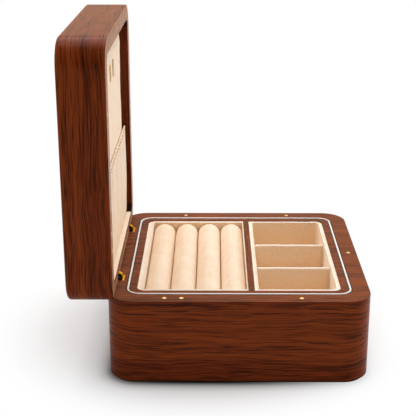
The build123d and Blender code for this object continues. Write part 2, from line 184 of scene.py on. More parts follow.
def along_the_grain(tree, point, flat, far, side_axis):
    """The point with the grain's run squeezed short, so that round specks drawn there come out as
    long strokes, and whether the point is on a rim. The grain runs round the sides of the case and
    straight across its rims."""
    shrink = maths(tree, "DIVIDE", HALF_SIDE / STRETCH, far)
    around = add_node(tree, "VectorMath", {0: flat, "Scale": shrink}, operation="SCALE")
    side_grain = vector_maths(tree, "MULTIPLY_ADD", point, (0.0, 0.0, 1.0), around)
    rim_grain = vector_maths(tree, "MULTIPLY", point, (1 / STRETCH, 1.0, 1.0))
    facing = add_node(tree, "SeparateXYZ", {0: add_node(tree, "TexCoord").outputs["Normal"]})
    upright = maths(tree, "ABSOLUTE", facing.outputs[side_axis])
    is_rim = maths(tree, "GREATER_THAN", upright, 0.7)
    grain = mix(tree, is_rim, side_grain, rim_grain, "VECTOR")
    # The figure drifts across the grain as a tree's rings do: in slow waves, and in small curls
    sideways = mix(tree, is_rim, (0.1, 0.1, 1.0), (0.1, 1.0, 0.1), "VECTOR")
    for size, amount in ((45.0, 7.0), (14.0, 1.2)):
        drift = add_node(tree, "TexNoise", {"Vector": point, "Scale": 1 / size, "Detail": 1})
        centred = vector_maths(tree, "SUBTRACT", drift.outputs["Color"], (0.5,) * 3)
        leaning = vector_maths(tree, "MULTIPLY", centred, sideways)
        grain = vector_maths(tree, "MULTIPLY_ADD", leaning, (amount,) * 3, grain)
    return grain, is_rim


def lacquered_rosewood(
    name, colours, turn=(0, 0, 0), shift=(0, 0, 0), side_axis="Z", painted_inner_shade=0.0, haze=0.0, inlay=None
):
    """Rosewood veneer under satin lacquer: wavy dark figure and short pores along the grain, under
    a soft even gloss. The rims are painted a little paler than the sides, a painted reflection as
    of the pale room seen at a low angle, and the faces inside may be darkened with painted shade. A
    painted shadow may line the gap on either side of an inlay. Haze in the lacquer pales a face
    seen at a low angle."""
    finish = {
        "IOR": 1.5,
        "Specular IOR Level": 0.08,
        "Sheen Weight": haze,
        "Sheen Roughness": 0.17,
        "Sheen Tint": linear("F6C398"),
    }
    material, tree, shader = new_material(name, finish)
    point = in_millimetres(tree, turn, shift)
    flat = vector_maths(tree, "MULTIPLY", point, (1.0, 1.0, 0.0))
    axes = add_node(tree, "SeparateXYZ", {0: point})
    far = maths(tree, "MAXIMUM", *(maths(tree, "ABSOLUTE", axes.outputs[a]) for a in "XY"))
    grain, is_rim = along_the_grain(tree, point, flat, far, side_axis)
    # A second set of strokes crosses the first at a slant
    slanted = add_node(tree, "Mapping", {"Vector": grain, "Rotation": (0.4, 0.7, 0.0)})
    # Each pattern's width across the grain is in millimetres. Fibres and pores are hundredths of a
    # millimetre wide, too fine to show, so they are drawn 0.6 and 0.75 mm wide.
    bands, figure, strokes, crossing, contour, fibre, pores = (
        add_node(
            tree,
            "TexNoise",
            {"Vector": vector, "Scale": 1 / width, "Detail": detail, "Roughness": rough},
        )
        for vector, width, detail, rough in (
            (grain, 11.0, 2, 0.5),
            (slanted, 3.0, 3, 0.6),
            (grain, 1.3, 3, 0.65),
            (slanted, 1.3, 3, 0.6),
            (grain, 7.0, 2, 0.45),
            (slanted, 0.6, 2, 0.6),
            (grain, 0.75, 1, 0.4),
        )
    )
    # Thin dark growth lines where the slow contour passes one of its levels
    near = maths(tree, "PINGPONG", maths(tree, "MULTIPLY", contour, 9.0), 0.5)
    # The painted shade is on the inner faces of the walls, and on what lies nearer the centre
    edge = HALF_SIDE - LID_WALL
    inside = ramp(tree, far, edge - 0.1, edge + 0.1, 0.5 - painted_inner_shade, 0.5, "LINEAR")
    # Each layer has its pattern, the levels between which it comes up, its share and its colour
    layers = [
        (bands, 0.36, 0.64, 0.7, colours.wood_light),
        (crossing, 0.5, 0.62, 0.35, colours.wood_light),
        (figure, 0.54, 0.64, 0.45, colours.wood_streak),
        (strokes, 0.52, 0.62, 0.4, colours.wood_streak),
        (fibre, 0.5, 0.62, 0.45, colours.wood_light),
        (near, 0.11, 0.02, 0.6, colours.wood_streak),
        (inside, 0.5, 0.0, 1.0, colours.wood_pore),
        # Painted reflection: the rims are painted paler and greyer, as the pale room looks
        # reflected in them at a low angle
        (is_rim, 0.0, 1.0, 0.12, linear("8A7A60")),
    ]
    if inlay:
        # A painted shadow lines the groove cut for the inlay on either side of it, where the gap
        # falls in shade: how far a point is from the inlay's middle line, a square with rounded
        # corners
        half, radius, reach = inlay
        offset = maths(tree, "SUBTRACT", outside_square(tree, flat, half - radius), radius)
        groove = maths(tree, "ABSOLUTE", offset)
        layers.append((groove, reach, reach - 0.7, 0.85, colours.wood_pore))
    layers.append((pores, 0.58, 0.66, 0.65, colours.wood_pore))
    colour, pitted = painted(tree, colours.wood_dark, layers)
    gloss = maths(tree, "MULTIPLY_ADD", fibre, 0.14, 0.2)
    height = maths(tree, "SUBTRACT", fibre, pitted)
    surface(tree, shader, colour, height, 0.15, 0.1, gloss)
    return material


def brushed_suede(
    name, light, shade, marks=0.35, deep=None, reach=(1.0, 0.0), press=0.45, axis="Z"
):
    """Microfibre suede with a short nap: quite matt, pale along raised edges where the nap catches
    the light, with faint cloudy marks where a hand has brushed it. Low on a wall or in a fold the
    colour goes towards a painted shade between two places along an axis, and so it does on the
    sides that face the front or the back, where less light falls."""
    finish = {
        "Roughness": 0.92,
        "Specular IOR Level": 0.1,
        "Sheen Weight": 0.12,
        "Sheen Roughness": 0.45,
        "Sheen Tint": linear("FFEBD2"),
    }
    material, tree, shader = new_material(name, finish)
    point = in_millimetres(tree)
    # Brush marks are some 13 mm wide. The nap's fibres are hundredths of a millimetre thick, too
    # fine to show, so the nap is drawn in marks of 0.55 and 1.6 mm.
    cloudy = {"Vector": point, "Detail": 3, "Roughness": 0.65, "Distortion": 0.3}
    clouds, nap, grain = (
        add_node(tree, "TexNoise", {**cloudy, "Scale": 1 / width}) for width in (13.0, 1.6, 0.55)
    )
    brushed = maths(tree, "MULTIPLY_ADD", nap, 0.6, clouds)
    colour, _ = painted(tree, light, [(brushed, 0.6, 1.0, marks, shade)])
    if deep:
        # Painted shade: darker low down between two places along the axis, up to the share press,
        # and on faces turned to the front or back
        place = add_node(tree, "SeparateXYZ", {0: point})
        painted_low_shade = ramp(tree, place.outputs[axis], *reach, 0.0, press)
        facing = add_node(tree, "SeparateXYZ", {0: add_node(tree, "TexCoord").outputs["Normal"]})
        across = maths(tree, "ABSOLUTE", facing.outputs["Y"])
        laid = ramp(tree, across, 0.5, 0.98, 0.0, 1.05 - press)
        tone = maths(tree, "ADD", painted_low_shade, laid)
        # The painted shade comes and goes in small marks of the nap
        uneven = maths(tree, "MULTIPLY_ADD", nap, 1.4, -0.7)
        depth = maths(tree, "ADD", tone, uneven, use_clamp=True)
        colour = mix(tree, depth, colour, deep)
    height = maths(tree, "MULTIPLY_ADD", grain, 0.6, nap)
    surface(tree, shader, colour, height, 0.35, 0.25)
    return material


def speckled(name, finish, width, light, shade, strength, depth, gloss=None):
    """A solid finish whose colour, height and gloss vary in specks. Their width in millimetres is
    as coarse as they need to show, since the marks on a metal or plastic are finer."""
    material, tree, shader = new_material(name, finish)
    fine = {"Scale": 1 / width, "Detail": 4, "Roughness": 0.7, "Distortion": 0.6}
    specks = add_node(tree, "TexNoise", {"Vector": in_millimetres(tree), **fine})
    colour = mix(tree, specks, light, shade)
    rough = ramp(tree, specks, 0.3, 0.7, *gloss, "LINEAR") if gloss else None
    surface(tree, shader, colour, specks, strength, depth, rough)
    return material


def dress(names, material):
    """Puts one material on frame nodes."""
    for name in names:
        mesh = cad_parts[name].data
        mesh.materials.clear()
        mesh.materials.append(material)


# -------------------- shaping tools


def base_box(node):
    """A base node's lowest and highest corners in millimetres."""
    low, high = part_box(node)
    return low / MM, high / MM


def lid_box(node):
    """A lid node's lowest and highest corners over the shut lid's rim, in millimetres."""
    low, high = base_box(node)
    return (
        Vector((low.z - LID_CENTRE_Z, low.y, LID_RIM_X - high.x)),
        Vector((high.z - LID_CENTRE_Z, high.y, LID_RIM_X - low.x)),
    )


def block(bm, low, high):
    """A plain block between two corners, to be shaped further."""
    size, middle = high - low, (low + high) / 2
    matrix = Matrix.Translation(middle) @ Matrix.Diagonal((*size, 1.0))
    bmesh.ops.create_cube(bm, size=1.0, matrix=matrix)


def rounded_bevel(bm, parts, offset, segments, affect="EDGES"):
    """Rounds edges over, or a flat face's corners."""
    bmesh.ops.bevel(
        bm,
        geom=parts,
        offset=offset,
        offset_type="OFFSET",
        segments=segments,
        profile=0.5,
        affect=affect,
        clamp_overlap=affect == "EDGES",
        material=-1,
    )


def rounded_face(bm, low, high, height, radii, segments=6):
    """A flat rectangle with rounded corners. The radii go front left, front right, rear left and
    rear right."""
    old = set(bm.faces)
    size, middle = high - low, (low + high) / 2
    place = Matrix.Translation((middle.x, middle.y, height))
    matrix = place @ Matrix.Diagonal((size.x, size.y, 1, 1))
    made = bmesh.ops.create_grid(bm, x_segments=1, y_segments=1, size=0.5, matrix=matrix)
    corners = sorted(made["verts"], key=lambda v: (v.co.y > middle.y, v.co.x > middle.x))
    for corner, radius in zip(corners, radii):
        rounded_bevel(bm, [corner], radius, segments, "VERTICES")
    return next(f for f in bm.faces if f not in old)


def raise_faces(bm, faces, height):
    """Pulls a copy of flat faces up by a height, with walls between the two."""
    risen = bmesh.ops.extrude_face_region(bm, geom=faces)["geom"]
    verts = [g for g in risen if isinstance(g, bmesh.types.BMVert)]
    bmesh.ops.translate(bm, vec=(0, 0, height), verts=verts)


def slice_across(bm, axis, low, high, count):
    """Cuts the mesh into equal slices along an axis, so that it can be shaped softly."""
    normal = Vector((0, 0, 0))
    normal[axis] = 1.0
    for number in range(1, count):
        bmesh.ops.bisect_plane(
            bm,
            geom=bm.verts[:] + bm.edges[:] + bm.faces[:],
            dist=0.0005,
            plane_co=normal * (low + (high - low) * number / count),
            plane_no=normal,
        )


def edges_along(bm, axis, test):
    """The edges that run along an axis and pass a test of their middle point."""
    found = []
    for edge in bm.edges:
        first, second = (v.co for v in edge.verts)
        direction = second - first
        if abs(direction[axis]) > 0.99 * direction.length and test((first + second) / 2):
            found.append(edge)
    return found


def edges_at(bm, height):
    """The edges that lie at one height."""
    return [e for e in bm.edges if all(abs(v.co.z - height) < 0.01 for v in e.verts)]


def soft_waves(bm, size, depth, seed, keep=None):
    """Moves each vertex along its normal by slow noise, as hand-laid cloth lies."""
    bm.normal_update()
    shift = Vector((seed * 17.3, seed * 5.1, seed * 9.7))
    moves = []
    for vert in bm.verts:
        amount = depth * noise.noise(vert.co / size + shift)
        if keep is not None:
            amount *= keep(vert.co)
        moves.append(vert.normal * amount)
    for vert, move in zip(bm.verts, moves):
        vert.co += move


def stay_inside(bm, low, high):
    """Presses a swollen form flat where it would leave its room."""
    for vert in bm.verts:
        vert.co = [min(max(c, near), far) for c, near, far in zip(vert.co, low, high)]


def new_object(bm, name):
    """Writes a bmesh to a new object in the scene."""
    mesh = bpy.data.meshes.new(name)
    bm.to_mesh(mesh)
    bm.free()
    made = bpy.data.objects.new(name, mesh)
    bpy.context.scene.collection.objects.link(made)
    return made


def finish_piece(bm, name, finish, body, node, slot="lining_suede", levels=1, fill=None):
    """Writes the mesh to a smooth object at the origin, in a material that an earlier step made. It
    rides on its body and stands for its node. The fill, how full a padded piece is, is not used."""
    bmesh.ops.recalc_face_normals(bm, faces=bm.faces[:])
    place = Matrix.Scale(MM, 4) @ (OPEN_LID if body == "lid" else Matrix.Identity(4))
    bmesh.ops.transform(bm, matrix=place, verts=bm.verts[:])
    piece = new_object(bm, name)
    piece.data.shade_smooth()
    piece.data.materials.append(bpy.data.materials[finish])
    if levels:
        smoother = piece.modifiers.new("Subdivision", "SUBSURF")
        smoother.levels = smoother.render_levels = levels
    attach(piece, body)
    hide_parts(node)
    return piece


def cloth_form(bm, name, voxel):
    """A free-standing copy of a form in even small faces, ready to be simulated as cloth."""
    bmesh.ops.recalc_face_normals(bm, faces=bm.faces[:])
    bmesh.ops.transform(bm, matrix=Matrix.Scale(MM, 4), verts=bm.verts[:])
    form = new_object(bm, name)
    remesh = form.modifiers.new("Remesh", "REMESH")
    remesh.mode = "VOXEL"
    remesh.voxel_size = voxel * MM
    graph = bpy.context.evaluated_depsgraph_get()
    rough = form.data
    form.data = bpy.data.meshes.new_from_object(form.evaluated_get(graph))
    form.modifiers.clear()
    bpy.data.meshes.remove(rough)
    return form


def swell(forms, held, cap, pressure=4.0, frames=20):
    """Blows the forms up as padded cloth: no gravity, the held vertices pinned, no point moving
    further than the cap. The result is written to their own meshes."""
    for form in forms:
        pins = form.vertex_groups.new(name="held")
        pins.add([v.index for v in form.data.vertices if held(v.co / MM)], 1.0, "REPLACE")
        cloth = form.modifiers.new("Cloth", "CLOTH")
        cloth.settings.use_pressure = True
        cloth.settings.uniform_pressure_force = pressure
        cloth.settings.effector_weights.gravity = 0.0
        cloth.settings.vertex_group_mass = pins.name
        cloth.point_cache.frame_start = 1
        cloth.point_cache.frame_end = frames
    for number in range(1, frames + 1):
        bpy.context.scene.frame_set(number)
    graph = bpy.context.evaluated_depsgraph_get()
    for form in forms:
        blown = [v.co.copy() for v in form.evaluated_get(graph).data.vertices]
        form.modifiers.clear()
        form.vertex_groups.clear()
        for vert, target in zip(form.data.vertices, blown):
            move = target - vert.co
            if move.length > cap * MM:
                move *= cap * MM / move.length
            vert.co += move
    bpy.context.scene.frame_set(1)


def shaped_mesh(form):
    """The form's mesh as a bmesh in millimetres, and the form itself taken away."""
    bm = bmesh.new()
    bm.from_mesh(form.data)
    bmesh.ops.transform(bm, matrix=Matrix.Scale(1 / MM, 4), verts=bm.verts[:])
    mesh = form.data
    bpy.data.objects.remove(form)
    bpy.data.meshes.remove(mesh)
    return bm


def stands(face):
    """Whether a face stands upright."""
    return abs(face.normal.z) < 0.3


def padded_wall(outer, inner, outer_radii, inner_radii, outer_round, inner_round, groove):
    """A padded lining that stands round a space: rounded along its top, with a shallow groove where
    the outer and the inner layer of its wall lie against each other."""
    foot, top = outer[0].z, outer[1].z
    bm = bmesh.new()
    faces = [
        rounded_face(bm, *outer, foot, outer_radii),
        rounded_face(bm, *inner, foot, inner_radii),
    ]
    rims = [e for f in faces for e in f.edges]
    bmesh.ops.delete(bm, geom=faces, context="FACES_ONLY")
    ring = bmesh.ops.bridge_loops(bm, edges=rims)["faces"]
    raise_faces(bm, ring, top - foot)
    bmesh.ops.recalc_face_normals(bm, faces=bm.faces[:])
    upper = edges_at(bm, top)
    across = [e for e in upper if not any(stands(f) for f in e.link_faces)]
    rim_verts = {v for e in upper if e not in across for v in e.verts}
    cut = bmesh.ops.subdivide_edges(bm, edges=across, cuts=3, use_grid_fill=True)
    new_verts = {g for g in cut["geom_inner"] if isinstance(g, bmesh.types.BMVert)} - rim_verts
    for vert in new_verts:
        if not any(e.other_vert(vert) in rim_verts for e in vert.link_edges):
            vert.co.z -= groove
    slice_across(bm, 2, foot, top, 7)
    for axis in (0, 1):
        low, high = outer[0][axis], outer[1][axis]
        slice_across(bm, axis, low, high, max(4, int((high - low) / 6)))
    bm.normal_update()
    centre = (outer[0] + outer[1]) / 2
    on_outer, on_inner = [], []
    for edge in edges_at(bm, top):
        walls = [f for f in edge.link_faces if stands(f)]
        if walls:
            faces_out = any(f.normal.dot(f.calc_center_median() - centre) > 0 for f in walls)
            (on_outer if faces_out else on_inner).append(edge)
    skin = 0.05
    rounded_bevel(bm, on_inner, inner_round - skin, 4)
    rounded_bevel(bm, [e for e in on_outer if e.is_valid], outer_round - skin, 3)
    return bm


def floor_pad(node, radius, seed):
    """A thin padded floor with soft edges, a tenth of a millimetre lower than its room."""
    low, high = base_box(node)
    top = high.z - 0.1
    bm = bmesh.new()
    raise_faces(bm, [rounded_face(bm, low, high, low.z, (radius,) * 4)], top - low.z)
    bmesh.ops.recalc_face_normals(bm, faces=bm.faces[:])
    rounded_bevel(bm, edges_at(bm, top), 0.8, 3)
    slice_across(bm, 0, low.x, high.x, 16)
    slice_across(bm, 1, low.y, high.y, 24)
    soft_waves(bm, 14.0, 0.12, seed, keep=lambda p: 1.0 if p.z > low.z + 0.5 else 0.0)
    return bm


def gather(y, width, count):
    """How far gathered cloth stands out along its hem, from -1 to 1, never quite even."""
    # The gathers drift along the hem in waves of some 19 mm, and change in size over some 13 mm
    turn = math.tau * count * y / width
    drift = 2.2 * noise.noise(Vector((y / 19.0, 3.1, 0.4)))
    size = 0.65 + 0.55 * noise.noise(Vector((y / 13.0, 8.7, 2.2)))
    return size * math.sin(turn + drift) + 0.3 * math.sin(2.3 * turn + 1.7 * drift)


# -------------------- settings


def colour_setting(name, description, code):
    """A colour that a user would change, given as an sRGB hex code."""
    return FloatVectorProperty(
        name=name, description=description, subtype="COLOR", size=4, default=linear(code)
    )


def length_setting(name, description, millimetres):
    """A length that a user would change."""
    return FloatProperty(
        name=name, description=description, unit="LENGTH", default=millimetres * MM
    )


def angle_setting(name, description, degrees):
    """An angle that a user would change."""
    angle = math.radians(degrees)
    return FloatProperty(name=name, description=description, subtype="ANGLE", default=angle)


def light_setting(name, description, amount, subtype="NONE"):
    """The strength or power of a light that a user would change."""
    return FloatProperty(name=name, description=description, subtype=subtype, default=amount)


class WoodColours(PropertyGroup):
    """The colours of the lacquered case."""

    wood_light: colour_setting("Light wood", "The warm brown between the dark figure", "9B4516")
    wood_dark: colour_setting("Dark wood", "The deeper red brown of the bands", "722C0E")
    wood_streak: colour_setting("Figure", "The dark lines of the figure", "3C1507")
    wood_pore: colour_setting("Pores", "The nearly black pores", "1C0803")


class LiningSettings(PropertyGroup):
    """The suede furnishing's colours and softness."""

    cream: colour_setting("Cream suede", "The lining where its nap stands up", "FCE7CF")
    cream_shade: colour_setting("Brushed suede", "The lining where it is brushed down", "F0CCA6")
    # Painted light: a lighter copy of the cream, used all over the walls, partitions, pocket and
    # strip
    cream_painted_light: colour_setting("Suede in painted light", "The lining along the tops of the walls", "FFF1E0")
    # Painted shade: the tone low on the walls and rolls, in the pocket's folds, and on faces turned
    # to the front or back
    cream_painted_shade: colour_setting("Suede in painted shade", "The lining low between the walls", "F1CFA8")
    # Painted light: the same cream as the tray's, painted a little lighter for the lid's inside
    cushion_cream: colour_setting("Cushion suede", "The cushion in the lid", "FFECD6")
    tan: colour_setting("Tan suede", "The two tabs in the lid", "FCD4A5")
    tan_shade: colour_setting("Brushed tan", "The tabs where they are brushed down", "F0BE8B")
    roll_swell: length_setting("Roll swell", "How far the filling may push a roll's cover out", 0.5)
    roll_press: length_setting("Roll press", "How far its neighbours squeeze each roll", 0.6)
    gather_depth: length_setting("Gather depth", "How deep the pocket's gathers are", 1.3)
    gather_count: IntProperty(name="Gathers", description="How many the pocket has", default=17)


class MetalColours(PropertyGroup):
    """The colours of the hinges and magnets."""

    gold: colour_setting("Hinge gold", "The lacquer on the hinge arms and bars", "FFB414")
    brass: colour_setting("Magnet brass", "The caps of the magnets", "FFE8A0")


class StudioSettings(PropertyGroup):
    """The camera, the lamps and the floor."""

    camera_place: FloatVectorProperty(
        name="Camera place",
        description="Where the camera stands",
        subtype="TRANSLATION",
        unit="LENGTH",
        default=(-20.8 * MM, -819.2 * MM, 396.4 * MM),
    )
    camera_pitch: angle_setting("Camera pitch", "How far the camera looks down", 19.07)
    camera_yaw: angle_setting("Camera yaw", "How far the camera turns left", 0.33)
    focal_length: FloatProperty(
        name="Focal length", description="The camera's lens", unit="CAMERA", default=86.54
    )
    front_light: light_setting("Front light", "Strength of the sky in front of the box", 0.28)
    rear_light: light_setting("Rear light", "Strength of the sky behind the box", 0.68)
    softbox_power: light_setting("Softbox power", "Power of the softbox above", 10.4, "POWER")
    fill_power: light_setting("Fill power", "Power of the fill at the open side", 3.0, "POWER")


class CufflinkBoxSettings(PropertyGroup):
    """All that a user would change."""

    wood: PointerProperty(type=WoodColours)
    lining: PointerProperty(type=LiningSettings)
    metal: PointerProperty(type=MetalColours)
    studio: PointerProperty(type=StudioSettings)


# -------------------- finishes on the frame's nodes


class CUFFLINKBOX_OT_wood(Operator):
    """Lacquer the case, the lid and the tray"""

    bl_idname = "cufflink_box.wood"
    bl_label = "Lacquered wood"

    def execute(self, context):
        colours = context.scene.cufflink_box.wood
        # The trim ring's middle line, that line's corner radius, and half the width of the painted
        # shadow along its groove
        trim_width, trim_radius, shadow_reach = 1.5, 10.5, 1.9
        inlay = (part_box("trim_ring")[1].x / MM - trim_width / 2, trim_radius, shadow_reach)
        base_wood = lacquered_rosewood("base_rosewood", colours, inlay=inlay)
        quarter = math.radians(90)
        turned = (0, quarter, 0), (-LID_CENTRE_Z, 0, LID_RIM_X), "X"
        # The lid's inner faces are darkened with painted shade
        lid_wood = lacquered_rosewood("lid_rosewood", colours, *turned, painted_inner_shade=0.42, haze=1.0)
        panel_wood = lacquered_rosewood("panel_rosewood", colours, *turned, haze=1.0)
        divider_wood = lacquered_rosewood("divider_rosewood", colours, (0, 0, quarter))
        # Bare medium-density fibreboard: flat tan with pale and dark flecks of fibre
        dull = {"Roughness": 0.85, "Specular IOR Level": 0.3}
        tan, pale = linear("8E6B47"), linear("B28F66")
        board = speckled("raw_fibreboard", dull, 0.8, tan, pale, 0.3, 0.1)
        dress(["base_frame", "base_bottom", "tray_frame"], base_wood)
        dress(["lid_frame"], lid_wood)
        dress(["lid_panel"], panel_wood)
        dress(["tray_divider"], divider_wood)
        dress(["tray_bottom", "lid_board"], board)
        return {"FINISHED"}


class CUFFLINKBOX_OT_metal(Operator):
    """Plate the hinges and the magnets, and finish the trim ring"""

    bl_idname = "cufflink_box.metal"
    bl_label = "Metal and trim"

    def execute(self, context):
        colours = context.scene.cufflink_box.metal
        bare = {"Metallic": 1.0}
        coated = {"Metallic": 0.45, "Specular IOR Level": 0.3}
        plastic = {"IOR": 1.53}
        # Steel sprayed with gold lacquer: a rich even yellow, half metal and half the coat's colour
        tone = colours.gold
        gold = speckled("gold_lacquered_steel", coated, 1.8, tone, tone, 0.02, 0.01, (0.34, 0.46))
        # Brass caps, turned and buffed: pale yellow with a soft gloss
        tone = colours.brass
        brass = speckled("buffed_brass", bare, 0.9, tone, tone, 0.05, 0.01, (0.38, 0.5))
        # Zinc-plated steel: cool grey, a little cloudy
        tone, cloud = linear("C9C5BC"), linear("B4B2AC")
        steel = speckled("zinc_plated_steel", bare, 1.2, tone, cloud, 0.05, 0.01, (0.28, 0.45))
        # Blackened steel: near black, with a dry satin gloss and the marks of tumbling. On the
        # hinge plates its near black is partly painted shade, standing in for the shade of the
        # hinge recesses
        soot, char = linear("0D0A08"), linear("1A1613")
        black = speckled("black_steel_and_painted_shade", coated, 0.5, soot, char, 0.2, 0.03, (0.42, 0.6))
        # Extruded ivory ABS edging: warm white and satin, a little cloudy
        tone, cloud = linear("FDFBF8"), linear("F6F2EB")
        ivory = speckled("extruded_ivory_abs", plastic, 6.0, tone, cloud, 0.05, 0.02, (0.28, 0.4))
        for end in ("front", "rear"):
            dress([f"hinge_arm_{end}", f"hinge_bar_{end}"], gold)
            # The hinge plates' near black is partly painted shade of the hinge recesses
            dress([f"hinge_base_plate_{end}", f"hinge_lid_plate_{end}"], black)
            dress([f"hinge_pin_{end}"], steel)
        dress(["hinge_screws_base", "hinge_screws_lid"], steel)
        dress(["base_magnets", "lid_magnets"], brass)
        dress(["trim_ring"], ivory)
        return {"FINISHED"}


# -------------------- soft furnishing in the tray


class CUFFLINKBOX_OT_suede(Operator):
    """Mix the suedes and the felt that the soft pieces are cut from"""

    bl_idname = "cufflink_box.suede"
    bl_label = "Suede and felt"

    def execute(self, context):
        lining = context.scene.cufflink_box.lining
        cream, shade, deep = lining.cream, lining.cream_shade, lining.cream_painted_shade
        # edge is the cream painted lighter, painted light on the walls, partitions, pocket and
        # strip
        edge = lining.cream_painted_light
        brushed_suede("cream_suede", cream, shade)
        # The cushion's cream is painted a little lighter, painted light for the lid's inside
        brushed_suede("lid_suede", lining.cushion_cream, shade)
        brushed_suede("tan_suede", lining.tan, lining.tan_shade, marks=0.5)
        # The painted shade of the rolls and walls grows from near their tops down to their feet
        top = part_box("roll_lining")[1].z / MM
        brushed_suede("roll_suede", cream, shade, 0.35, deep, (top - 3, top - 22))
        brushed_suede("wall_suede", edge, shade, 0.3, deep, (top, top - 26), 0.25)
        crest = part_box("partition_1")[1].z / MM
        brushed_suede("partition_suede", edge, shade, 0.15, deep, (crest - 2, crest - 26), 0.35)
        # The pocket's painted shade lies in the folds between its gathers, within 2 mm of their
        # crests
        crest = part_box("lid_pocket")[1].x / MM + 1.6
        brushed_suede("pocket_suede", edge, shade, 0.3, deep, (crest, crest - 2.0), 0.5, "X")
        # Pressed wool felt, nearly black: no gloss at all and a tangled fuzzy surface
        dull = {"Roughness": 1.0, "Specular IOR Level": 0.1, "Sheen Weight": 0.2}
        dark, fuzz = linear("15110E"), linear("2A231E")
        speckled("pressed_wool_felt", dull, 0.9, dark, fuzz, 0.7, 0.3)
        return {"FINISHED"}


class CUFFLINKBOX_OT_rolls(Operator):
    """Stuff the four round rolls that hold rings and cufflinks"""

    bl_idname = "cufflink_box.rolls"
    bl_label = "Ring rolls"

    def execute(self, context):
        lining = context.scene.cufflink_box.lining
        press = Vector((lining.roll_press / MM, 0, 0))
        forms, rooms = [], []
        for number in range(1, 5):
            low, high = base_box(f"roll_{number}")
            rooms.append((low, high))
            bm = bmesh.new()
            block(bm, low - press, high + press)
            # The two upper edges are rounded until they all but meet in a half round
            ridges = edges_along(bm, 1, lambda p: p.z > high.z - 1)
            rounded_bevel(bm, ridges, (high.x - low.x) / 2 + 0.98 * press.x, 12)
            ends = [
                e
                for e in bm.edges
                if abs(e.verts[0].co.y - e.verts[1].co.y) < 0.01
                and all(v.co.z > low.z + 1 for v in e.verts)
            ]
            rounded_bevel(bm, ends, 1.5, 3)
            forms.append(cloth_form(bm, f"roll_form_{number}", 1.7))
        foot = rooms[0][0].z
        swell(forms, lambda p: p.z < foot + 3, cap=lining.roll_swell / MM)
        for number, (form, room) in enumerate(zip(forms, rooms), 1):
            bm = shaped_mesh(form)
            soft_waves(bm, 24.0, 0.3, number)
            stay_inside(bm, *room)
            name, node = f"suede_roll_{number}", f"roll_{number}"
            finish_piece(bm, name, "roll_suede", "base", node, fill=0.9)
        return {"FINISHED"}


class CUFFLINKBOX_OT_tray_linings(Operator):
    """Stand the padded linings of the roll bed and the compartments in the tray"""

    bl_idname = "cufflink_box.tray_linings"
    bl_label = "Tray linings"

    def execute(self, context):
        # Each lining's inner face stands a little clear of what fills its room
        gap = Vector((0.3, 0.3, 0))
        inner = base_box("roll_1")[0] - gap, base_box("roll_4")[1] + gap
        radii = (6.9, 0.3, 6.9, 0.3), (1.0, 0.2, 1.0, 0.2)
        bm = padded_wall(base_box("roll_lining"), inner, *radii, 0.38, 0.38, 0.45)
        soft_waves(bm, 9.0, 0.12, 11)
        finish_piece(bm, "roll_bed_lining", "wall_suede", "base", "roll_lining", fill=0.8)

        low, high = base_box("compartment_floor_pad")
        inner = low - gap, high + gap
        radii = (0.5, 6.9, 0.5, 6.9), (1.5, 4.0, 1.5, 4.0)
        bm = padded_wall(base_box("compartment_lining"), inner, *radii, 0.6, 1.5, 0.6)
        soft_waves(bm, 9.0, 0.15, 12)
        name, node = "cufflink_compartment_lining", "compartment_lining"
        finish_piece(bm, name, "wall_suede", "base", node, fill=0.8)
        return {"FINISHED"}


class CUFFLINKBOX_OT_partitions(Operator):
    """Set the two padded partitions and the floor pad between the compartments"""

    bl_idname = "cufflink_box.partitions"
    bl_label = "Partitions and floor"

    def execute(self, context):
        for number in (1, 2):
            node = f"partition_{number}"
            low, high = base_box(node)
            bm = bmesh.new()
            block(bm, low, high)
            rounded_bevel(bm, edges_along(bm, 0, lambda p: p.z > high.z - 1), 1.75, 4)
            slice_across(bm, 0, low.x, high.x, 26)
            slice_across(bm, 2, low.z, high.z - 2, 6)
            soft_waves(bm, 7.0, 0.22, 20 + number)
            finish_piece(bm, "suede_" + node, "partition_suede", "base", node, fill=0.8)
        bm, node = floor_pad("compartment_floor_pad", 5.0, 31), "compartment_floor_pad"
        finish_piece(bm, "compartment_floor", "partition_suede", "base", node, fill=0.5)
        return {"FINISHED"}


class CUFFLINKBOX_OT_store(Operator):
    """Line the store under the tray and lay the felt under the case"""

    bl_idname = "cufflink_box.store"
    bl_label = "Store and felt"

    def execute(self, context):
        gap = Vector((0.3, 0.3, 0))
        pad_low, pad_high = base_box("store_floor_pad")
        inner = pad_low - gap, pad_high + gap
        bm = padded_wall(base_box("store_lining"), inner, (11.5,) * 4, (6.6,) * 4, 1.2, 1.2, 0.3)
        soft_waves(bm, 10.0, 0.12, 41)
        suede = "cream_suede", "base"
        finish_piece(bm, "lower_store_lining", *suede, "store_lining", levels=0, fill=0.8)
        bm = floor_pad("store_floor_pad", 6.0, 42)
        finish_piece(bm, "lower_store_floor", *suede, "store_floor_pad", levels=0, fill=0.5)

        low, high = base_box("base_felt")
        bm = bmesh.new()
        inset = HALF_SIDE - high.x
        face = rounded_face(bm, low, high, low.z, (CORNER_RADIUS - inset,) * 4, 12)
        raise_faces(bm, [face], high.z - low.z)
        rounded_bevel(bm, edges_at(bm, low.z), 0.4, 2)
        felt = finish_piece(
            bm, "glued_felt", "pressed_wool_felt", "base", "base_felt", slot="felt", levels=0
        )
        return {"FINISHED"}


# -------------------- soft furnishing in the lid


